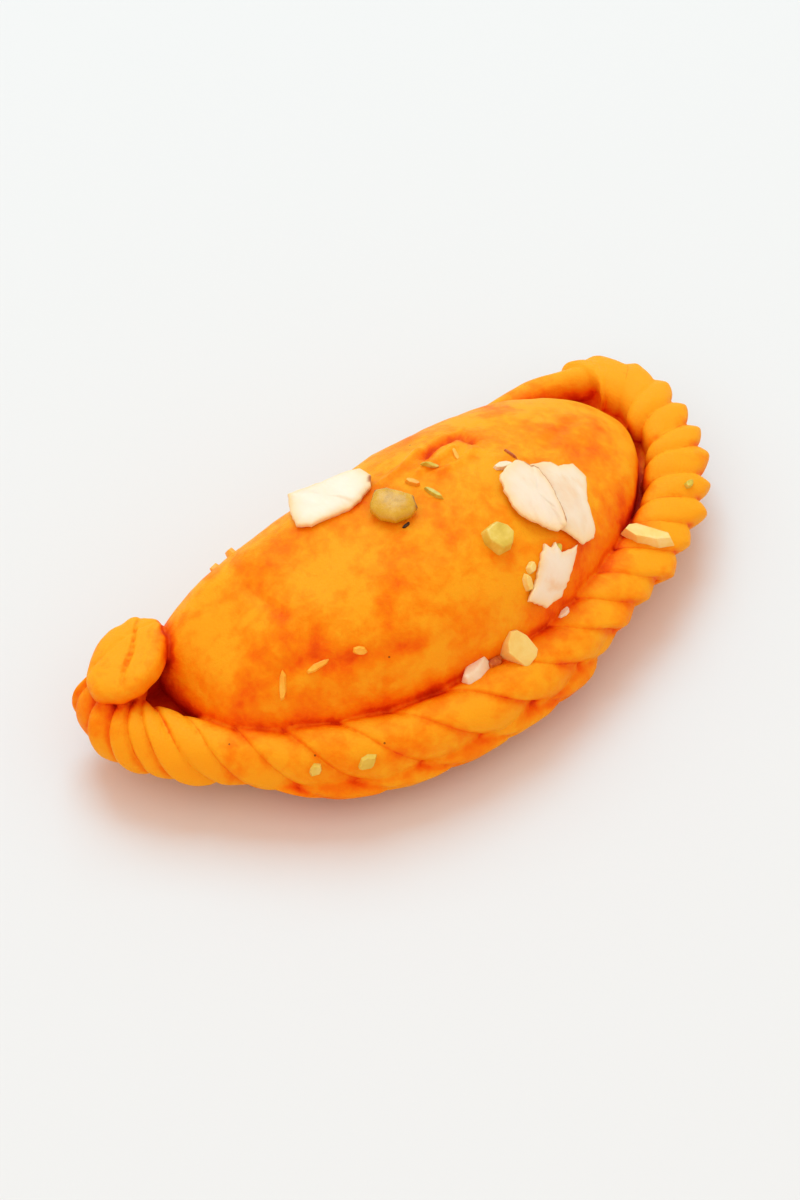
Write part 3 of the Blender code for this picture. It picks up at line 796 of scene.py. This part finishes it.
def makeDoughMaterial():
    look = doughLook
    material, nodes, shader = newMaterial("friedDough")
    do = partial(mathNode, nodes)
    at = millimetres(nodes)
    blotches, height = addGrain(nodes, at, look["blotchSize"], look["grainSize"])
    fine, fineHeight = addGrain(nodes, at, look["fineSize"], look["grainSize"] / 3)
    blotches = do("MULTIPLY", do("SUBTRACT", blotches, look["blotchMiddle"]), look["blotchShare"])
    fine = do("MULTIPLY", do("SUBTRACT", fine, look["fineMiddle"]), look["fineShare"])
    # the painted shade from the hemmed-in rays and from the rope's creases joins the mottling here
    shadeAndToast = do("ADD", do("ADD", blotches, fine), attribute(nodes, "shadeAndToast"))
    shadeAndToast = do("ADD", shadeAndToast, addCreaseShade(nodes, look), clamp=True)
    colour = addRamp(nodes, shadeAndToast, look["colours"])
    # sparse brown specks
    inputs = {"Vector": at, "Scale": 1 / look["speckCell"], "Randomness": 1.0}
    cells = addNode(nodes, "ShaderNodeTexVoronoi", inputs)
    ring = do("LESS_THAN", cells.outputs["Distance"], look["speckRadius"] / look["speckCell"])
    split = addNode(nodes, "ShaderNodeSeparateColor", {"Color": cells.outputs["Color"]})
    chosen = do("LESS_THAN", split.outputs["Red"], look["specksKept"])
    speck = do("MULTIPLY", do("MULTIPLY", ring, chosen), look["speckStrength"])
    feed(shader.inputs["Base Color"], mixColours(nodes, speck, colour, look["speckColour"]))
    addGloss(nodes, shader, height, look["roughness"])
    height = do("ADD", height, do("MULTIPLY", fineHeight, look["fineHeight"]))
    addRelief(nodes, shader, height, look)
    addScatter(shader, look)
    return material


dough.name = "gujiyaDough"
dough.data.materials.clear()
dough.data.materials.append(makeDoughMaterial())
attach(dough, "root")
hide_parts("pastry")
print("stage: dough material")


# where toppings lie

restSizes = {"sky": 60.0, "reach": 12.0, "overhang": 3.0, "sink": 0.12}  # mm


def surfaceOf(pieces):
    # faces to cast rays on, in millimetres on the plan
    verts, faces = [], []
    back = placing.inverted()
    for piece in pieces:
        faces += [[index + len(verts) for index in face.vertices] for face in piece.data.polygons]
        verts += [back @ vert.co for vert in piece.data.vertices]
    return BVHTree.FromPolygons(verts, faces)


def restingFrame(surface, x, y, facing=None):
    at, normal, _, _ = surface.ray_cast(Vector((x, y, restSizes["sky"])), Vector((0, 0, -1)))
    z = Vector(facing).normalized() if facing else normal
    across = (Vector((1, 0, 0)) - z * z.x).normalized()
    rest = Matrix((across, z.cross(across), z)).transposed().to_4x4()
    rest.translation = at
    return rest


# sliced almonds and the pistachio half

plainSlice = {"edge": 5.0, "bend": 0.6, "skin": None, "step": None}
sliceSizes = {
    "flakeLeft": {
        "node": "flake_left", "slot": "almond", "at": (-8.0, -6.0), "facing": (-0.05, -0.06, 1.0),
        "thickness": 1.25, "jag": 0.16, "skin": (4.1, 4.5), "step": (0.4, 0.30, 0.22),
        "outline": ((-2.7, 5.1), (2.4, 3.2), (5.6, 2.2), (8.2, 0.5), (8.0, -2.3), (6.4, -3.9),
                    (3.0, -5.0), (0.8, -5.1), (-1.5, -4.3), (-5.5, -3.3), (-7.0, -1.6), (-5.5, 1.4)),
    },
    "pistachioHalf": {
        "node": "pistachio", "slot": "pistachio", "at": (-2.0, -15.6), "facing": (-0.03, 0.0, 1.0),
        "thickness": 2.5, "edge": 2.7, "jag": 0.10, "skin": (1.0, 5.0),
        "outline": ((-2.9, 2.4), (-0.7, 3.8), (0.8, 2.9), (1.9, 0.9), (2.7, -1.3), (1.7, -3.1),
                    (-0.1, -3.8), (-2.7, -2.9), (-3.9, -0.8), (-3.9, 1.4)),
    },
    "flakeUnder": {
        "node": "flake_under", "slot": "almond", "at": (23.0, -28.6), "facing": None,
        "thickness": 0.8, "jag": 0.18,
        "outline": ((-2.6, 7.2), (0.1, 6.6), (1.2, 5.8), (2.0, 4.6), (5.1, 3.6), (5.5, 0.7), (1.7, -2.7),
                    (-0.3, -6.9), (-1.5, -7.8), (-4.4, -7.6), (-6.9, -3.8), (-6.0, 0.2), (-4.6, 4.6)),
    },
    "flakeOver": {
        "node": "flake_over", "slot": "almond", "at": (16.9, -26.7), "facing": None,
        "thickness": 0.9, "bend": 0.3, "jag": 0.22, "skin": (3.0, 7.6),
        "outline": ((-2.9, 5.6), (-1.2, 6.1), (1.5, 6.3), (2.7, 5.2), (3.6, 3.2), (3.3, 0.6), (2.3, -2.7),
                    (1.2, -5.5), (0.0, -6.9), (-2.0, -6.6), (-4.6, -2.9), (-5.4, -0.4), (-4.4, 3.3)),
    },
    "flakeFront": {
        "node": "flake_front", "slot": "almond", "at": (11.2, -36.7), "facing": (0.12, -0.62, 0.77),
        "thickness": 1.1, "jag": 0.28,
        "outline": ((1.0, 4.7), (1.7, 3.6), (2.8, 3.8), (2.8, 2.1), (4.5, 1.5), (6.4, 1.4), (4.0, -0.5),
                    (1.5, -2.2), (-0.9, -3.5), (-4.3, -3.4), (-7.1, -0.8), (-4.0, 1.1), (-2.0, 2.7)),
    },
}
sliceFaces = {"perCorner": 8, "rings": 22, "sharpFrom": 48}
sliceForm = {
    "jagSizes": (1.1, 3.1), "fineJag": 0.6,  # how often the rim goes in and out
    "warpSize": 0.45, "warp": 0.14,
    "stepLean": 0.35, "rimSoftness": 6,
    "edgeSharpness": 5, "skinFade": 0.3, "skinFrom": (0.90, 0.97),
}


def makeSlice(name, surface):
    # rings follow the outline, bent part way to what the slice lies on, with two attributes for its colours
    form = sliceForm
    sizes = {**plainSlice, **sliceSizes[name]}
    outline = [Vector(corner) for corner in sizes["outline"]]
    per = sliceFaces["perCorner"]
    around = per * len(outline)
    rest = restingFrame(surface, *sizes["at"], sizes["facing"])
    up = rest.col[2].xyz
    bm = bmesh.new()
    bmesh.ops.create_uvsphere(bm, u_segments=around, v_segments=sliceFaces["rings"], radius=1)
    edgeLayer = bm.verts.layers.float.new("edge")
    skinLayer = bm.verts.layers.float.new("skin")
    lift = -1.0
    for vert in bm.verts:
        corner, part = divmod(round(math.atan2(vert.co.y, vert.co.x) / math.tau * around) % around, per)
        reached = len(outline) - corner - part / per
        rim = outline[-corner].lerp(outline[-corner - 1], part / per)
        flat = min(math.hypot(vert.co.x, vert.co.y), 1.0)
        out = flat ** (2 / sizes["edge"])
        coarse, fine = ((rim.x * size, rim.y * size) for size in form["jagSizes"])
        jag = noise.noise(Vector((*coarse, sizes["thickness"] * 9))) * sizes["jag"]
        jag += noise.noise(Vector((*fine, 2.0))) * sizes["jag"] * form["fineJag"]
        at = rim * out * (1 + jag * out / max(rim.length, 1.0))
        height = sizes["thickness"] / 2 * signedPower(vert.co.z, 2 / sizes["edge"])
        often = form["warpSize"]
        height += noise.noise(Vector((at.x * often, at.y * often, 5.0))) * form["warp"]
        if sizes["step"] and vert.co.z > 0:
            stepAt, stepWidth, stepHeight = sizes["step"]
            risen = ease(stepAt - stepWidth, stepAt + stepWidth, at.x + form["stepLean"] * at.y)
            height += stepHeight * risen * (1 - out ** form["rimSoftness"])
        base = rest @ at.to_3d()
        hit = surface.ray_cast(base + up * restSizes["reach"], -up)[3]
        drop = max(restSizes["reach"] - hit, -restSizes["overhang"]) if hit else -restSizes["overhang"]
        vert.co = base + up * (drop * sizes["bend"] + height)
        lift = max(lift, drop * (1 - sizes["bend"]) - height)
        vert[edgeLayer] = out ** form["edgeSharpness"]
        if sizes["skin"]:
            start, end = sizes["skin"]
            fade = form["skinFade"]
            within = ease(start - fade, start, reached) * ease(-end - fade, -end, -reached)
            vert[skinLayer] = within * ease(*form["skinFrom"], out)
    bmesh.ops.translate(bm, vec=up * (lift - restSizes["sink"]), verts=bm.verts)
    bmesh.ops.recalc_face_normals(bm, faces=bm.faces)
    bmesh.ops.transform(bm, matrix=placing, verts=bm.verts)
    piece = newPiece(name, bm)
    piece.data.shade_smooth()
    piece.data.set_sharp_from_angle(angle=math.radians(sliceFaces["sharpFrom"]))
    return piece


# chopped nuts: blocks cut by slanting planes

chopSizes = {
    "chunk": {
        "at": (0.4, -39.2), "facing": (-0.1, -0.72, 0.69), "thickness": 3.0, "slant": 0.22, "edge": 0.16,
        "outline": ((0.8, 2.5), (1.6, 1.2), (2.1, -1.9), (1.2, -2.8), (-1.4, -3.5), (-2.8, 0.1),
                    (-1.9, 1.8), (-0.4, 2.9)),
    },
    "bitCorners": 7, "bitSlant": 0.45, "bitEdge": 0.10, "bitSink": 0.22, "bitSizes": (0.86, 1.06),
    "topTilt": 0.12, "topHeight": 0.44, "chunkSink": 0.42,
}
# the bits of each kind: x, y, length, width, thickness, turn in degrees
nutBits = {
    "paleNut": (
        (8.0, -34.8, 2.3, 1.5, 1.3, 30), (6.0, -36.0, 2.9, 1.6, 1.4, 70),
        (31.6, -37.6, 8.6, 3.1, 1.9, -56),
    ),
    "yellowNut": (
        (6.2, -29.3, 5.2, 4.9, 2.6, 20), (-36.2, -33.7, 2.1, 1.7, 1.0, 20),
        (-30.2, -38.5, 3.2, 1.9, 1.1, 10),
    ),
    "whiteNut": (
        (-7.4, -38.6, 7.0, 3.4, 2.8, 14), (10.6, -39.8, 2.8, 1.1, 0.6, 10),
        (17.2, -19.7, 3.4, 1.5, 0.8, -15),
    ),
    "skinNut": (
        (-3.9, -39.2, 3.2, 1.8, 1.5, 5), (20.4, -18.2, 3.0, 0.55, 0.5, -88),
        (-8.4, -37.9, 1.1, 0.9, 0.8, 0),
    ),
    "greenNut": (
        (8.2, -12.8, 3.0, 0.9, 0.9, -44), (4.4, -17.4, 3.6, 1.0, 0.9, -80),
        (44.6, -34.6, 1.9, 1.3, 1.1, 0), (14.3, -34.5, 1.6, 1.2, 1.0, 30),
    ),
    "coatedNut": (
        (3.6, -13.6, 2.6, 1.2, 0.9, -70), (-21.6, 0.2, 2.6, 1.6, 1.2, 60),
        (-24.6, 0.6, 1.8, 1.3, 1.0, 20), (-33.0, -23.5, 4.9, 1.1, 0.9, 52),
        (-27.8, -25.6, 4.1, 1.1, 0.8, -8), (-21.8, -28.4, 2.2, 1.5, 0.9, -40),
        (13.5, -13.0, 4.2, 0.9, 0.7, 62),
    ),
    "darkSeed": (
        (-3.4, -19.4, 1.7, 0.6, 0.5, 4),
    ),
}


def cutBlock(bm, planes, edge):
    for at, normal in planes:
        everything = [*bm.verts, *bm.edges, *bm.faces]
        bmesh.ops.bisect_plane(bm, geom=everything, dist=1e-5, plane_co=at, plane_no=normal, clear_outer=True)
        bmesh.ops.holes_fill(bm, edges=[line for line in bm.edges if line.is_boundary], sides=0)
    bmesh.ops.remove_doubles(bm, verts=bm.verts, dist=0.02)
    bmesh.ops.bevel(
        bm, geom=bm.edges, affect="EDGES", offset=edge, segments=2, profile=0.5, material=-1,
        clamp_overlap=True,
    )
    bmesh.ops.recalc_face_normals(bm, faces=bm.faces)


def chopOutline(outline, thickness, slant, edge):
    # a flat block with one slanting side for each side of the outline, and a tilted top
    reach = max(Vector(corner).length for corner in outline) * 2
    bm = bmesh.new()
    bmesh.ops.create_cube(bm, size=1)
    bmesh.ops.scale(bm, vec=(reach * 2, reach * 2, thickness), verts=bm.verts)
    planes = []
    for a, b in zip(outline, outline[1:] + outline[:1]):
        a, b = Vector(a), Vector(b)
        side = Vector((-(b - a).y, (b - a).x, 0)).normalized()
        middle = (a + b) / 2
        if side.xy.dot(middle) < 0:
            side = -side
        planes.append((middle.to_3d(), side + Vector((0, 0, random.uniform(0.2, 1.0) * slant))))
    most = chopSizes["topTilt"]
    tilt = Vector((random.uniform(-most, most), random.uniform(-most, most), 1))
    planes.append(((0, 0, thickness * chopSizes["topHeight"]), tilt))
    cutBlock(bm, planes, edge)
    return bm


def makeBit(surface, x, y, length, width, thickness, turn):
    corners = chopSizes["bitCorners"]
    outline = []
    for i in range(corners):
        angle = math.tau * (i + random.uniform(-0.25, 0.25)) / corners
        size = random.uniform(*chopSizes["bitSizes"])
        outline.append((math.cos(angle) * length / 2 * size, math.sin(angle) * width / 2 * size))
    bm = chopOutline(outline, thickness, chopSizes["bitSlant"], chopSizes["bitEdge"] * min(width, thickness))
    bmesh.ops.translate(bm, vec=(0, 0, thickness * chopSizes["bitSink"]), verts=bm.verts)
    rest = restingFrame(surface, x, y) @ Matrix.Rotation(math.radians(turn), 4, "Z")
    bmesh.ops.transform(bm, matrix=placing @ rest, verts=bm.verts)
    return bm


def makeChunk(surface):
    sizes = chopSizes["chunk"]
    bm = chopOutline(list(sizes["outline"]), sizes["thickness"], sizes["slant"], sizes["edge"])
    rest = restingFrame(surface, *sizes["at"], sizes["facing"])
    bmesh.ops.translate(bm, vec=(0, 0, sizes["thickness"] * chopSizes["chunkSink"]), verts=bm.verts)
    bmesh.ops.transform(bm, matrix=placing @ rest, verts=bm.verts)
    return newPiece("nutChunk", bm)


def joinBits(kind, surface):
    # all bits of one kind are one mesh
    whole = bmesh.new()
    for sizes in nutBits[kind]:
        bm = makeBit(surface, *sizes)
        part = bpy.data.meshes.new("part")
        bm.to_mesh(part)
        bm.free()
        whole.from_mesh(part)
        bpy.data.meshes.remove(part)
    return newPiece(kind, whole)


# nut materials

plainNut = {
    "stops": (0.30, 0.55, 0.80),
    "blotchSize": 2.4, "grainSize": 0.25, "grainHeight": 0.03, "stretch": (1.0, 1.0, 1.0), "shine": 0.4,
    "scatter": 0.20, "scatterColour": (1.0, 0.4, 0.1), "scatterDepth": 0.7,
}
nutLooks = {
    "almond": {
        "stops": (0.28, 0.45, 0.80),
        "colours": ((0.88, 0.58, 0.33), (0.92, 0.76, 0.57), (0.95, 0.86, 0.72)),
        "edgeColour": (0.93, 0.60, 0.22), "edgeShare": 0.75, "skinColour": (0.46, 0.13, 0.02),
        "blotchSize": 5.0, "grainSize": 0.35, "stretch": (1.0, 0.35, 1.0), "grainHeight": 0.035,
        "roughness": 0.42, "scatter": 0.30, "scatterColour": (1.0, 0.72, 0.42),
    },
    "pistachio": {
        "stops": (0.30, 0.50, 0.72),
        "colours": ((0.52, 0.25, 0.004), (0.72, 0.37, 0.010), (0.86, 0.50, 0.06)),
        "edgeColour": (0.56, 0.28, 0.004), "edgeShare": 0.6, "skinColour": (0.16, 0.045, 0.060),
        "blotchSize": 2.6, "grainSize": 0.30, "grainHeight": 0.06,
        "roughness": 0.26, "scatterColour": (0.8, 0.8, 0.2),
    },
    "paleNut": {
        "colours": ((0.90, 0.58, 0.12), (0.94, 0.68, 0.20), (0.97, 0.78, 0.36)),
        "roughness": 0.40, "scatter": 0.25, "scatterColour": (1.0, 0.8, 0.3),
    },
    "yellowNut": {
        "colours": ((0.66, 0.42, 0.030), (0.78, 0.54, 0.070), (0.88, 0.66, 0.17)),
        "roughness": 0.36, "scatter": 0.25, "scatterColour": (1.0, 0.8, 0.3),
    },
    "whiteNut": {
        "colours": ((0.88, 0.66, 0.38), (0.92, 0.76, 0.54), (0.95, 0.84, 0.68)),
        "roughness": 0.42, "scatter": 0.28, "scatterColour": (1.0, 0.75, 0.5),
    },
    "skinNut": {
        "colours": ((0.40, 0.060, 0.004), (0.60, 0.130, 0.008), (0.85, 0.35, 0.04)),
        "blotchSize": 0.8, "grainSize": 0.2, "grainHeight": 0.05,
        "roughness": 0.32, "scatter": 0.15,
    },
    "greenNut": {
        "colours": ((0.55, 0.38, 0.02), (0.68, 0.52, 0.05), (0.80, 0.66, 0.16)),
        "blotchSize": 1.4, "grainSize": 0.2,
        "roughness": 0.38, "scatterColour": (0.9, 0.9, 0.2),
    },
    "coatedNut": {
        "colours": ((0.93, 0.36, 0.010), (0.98, 0.46, 0.030), (1.00, 0.58, 0.08)),
        "blotchSize": 1.6, "roughness": 0.45,
    },
    "darkSeed": {
        "colours": ((0.020, 0.010, 0.004), (0.035, 0.014, 0.006), (0.09, 0.03, 0.01)),
        "blotchSize": 0.6, "grainSize": 0.15, "roughness": 0.35, "scatter": 0.0,
    },
}


def makeNutMaterial(kind):
    look = {**plainNut, **nutLooks[kind]}
    material, nodes, shader = newMaterial(kind)
    sizes = look["blotchSize"], look["grainSize"], look["stretch"]
    blotches, height = addGrain(nodes, millimetres(nodes), *sizes)
    colour = addRamp(nodes, blotches, list(zip(look["stops"], look["colours"])))
    if "skinColour" in look:
        edgeShare = mathNode(nodes, "MULTIPLY", attribute(nodes, "edge"), look["edgeShare"])
        colour = mixColours(nodes, edgeShare, colour, look["edgeColour"])
        colour = mixColours(nodes, attribute(nodes, "skin"), colour, look["skinColour"])
    feed(shader.inputs["Base Color"], colour)
    addGloss(nodes, shader, height, look["roughness"])
    addRelief(nodes, shader, height, look)
    addScatter(shader, look)
    return material


nutMaterials = {kind: makeNutMaterial(kind) for kind in nutLooks}
onDough = [dough]
for name in sliceSizes:
    piece = makeSlice(name, surfaceOf(onDough))
    onDough.append(piece)
    piece.data.materials.append(nutMaterials[sliceSizes[name]["slot"]])
    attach(piece, "root")
    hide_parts(sliceSizes[name]["node"])

doughSurface = surfaceOf([dough])
chunk = makeChunk(doughSurface)
chunk.data.materials.append(nutMaterials["paleNut"])
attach(chunk, "root")
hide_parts("nut_chunk")

bitSlots = {
    "paleNut": "pale_nut", "yellowNut": "pale_nut", "whiteNut": "almond", "skinNut": "almond",
    "greenNut": "pistachio", "coatedNut": "dough", "darkSeed": "dough",
}
for kind, slot in bitSlots.items():
    piece = joinBits(kind, doughSurface)
    piece.data.materials.append(nutMaterials[kind])
    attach(piece, "root")
    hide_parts("pastry")
print("stage: toppings")


# floor, light and camera

stageLook = {"floorColour": (0.80, 0.797, 0.790), "floorSize": 12.0}
lightLook = {
    "key": {"at": (1.20, 1.65, 2.45), "size": 2.0, "energy": 67.0, "colour": (0.34, 0.79, 1.0)},
    "fill": {"at": (-2.4, -0.9, 2.7), "size": 3.0, "energy": 8.0, "colour": (1.0, 0.5, 0.4)},
    "world": (1.0, 0.81, 0.70), "worldStrength": 0.94,
}
cameraLook = {
    "azimuth": -44.3, "elevation": 50.0, "distance": 0.517, "lens": 100.0, "aim": (-5.834, 3.143, 10.0),
}


def makeFloor():
    bm = bmesh.new()
    bmesh.ops.create_grid(bm, x_segments=1, y_segments=1, size=stageLook["floorSize"] / 2)
    floor = newPiece("floor", bm)
    material, _, shader = newMaterial("paleFloor")
    shader.inputs["Base Color"].default_value = (*stageLook["floorColour"], 1)
    shader.inputs["Roughness"].default_value = 0.85
    floor.data.materials.append(material)


def makeLight(name, look):
    light = bpy.data.lights.new(name, "AREA")
    light.size = look["size"]
    light.energy = look["energy"]
    light.color = look["colour"]
    lamp = newObject(name, light)
    lamp.location = look["at"]
    lamp.rotation_euler = (Vector((0, 0, 0.01)) - lamp.location).to_track_quat("-Z", "Y").to_euler()


def makeWorld():
    world = bpy.data.worlds.new("softWorld")
    world.use_nodes = True
    background = world.node_tree.nodes["Background"]
    background.inputs["Color"].default_value = (*lightLook["world"], 1)
    background.inputs["Strength"].default_value = lightLook["worldStrength"]
    bpy.context.scene.world = world


def makeCamera():
    look = cameraLook
    turn, rise = math.radians(look["azimuth"]), math.radians(look["elevation"])
    back = Vector((math.sin(turn) * math.cos(rise), -math.cos(turn) * math.cos(rise), math.sin(rise)))
    camera = newObject("camera", bpy.data.cameras.new("camera"))
    camera.data.lens = look["lens"]
    camera.data.clip_start = 0.01
    camera.location = Vector(look["aim"]) * mm + back * look["distance"]
    camera.rotation_euler = (-back).to_track_quat("-Z", "Y").to_euler()
    bpy.context.scene.camera = camera


makeFloor()
makeLight("key", lightLook["key"])
makeLight("fill", lightLook["fill"])
makeWorld()
makeCamera()
bpy.context.scene.view_settings.view_transform = "Standard"
print("stage: floor, light and camera")
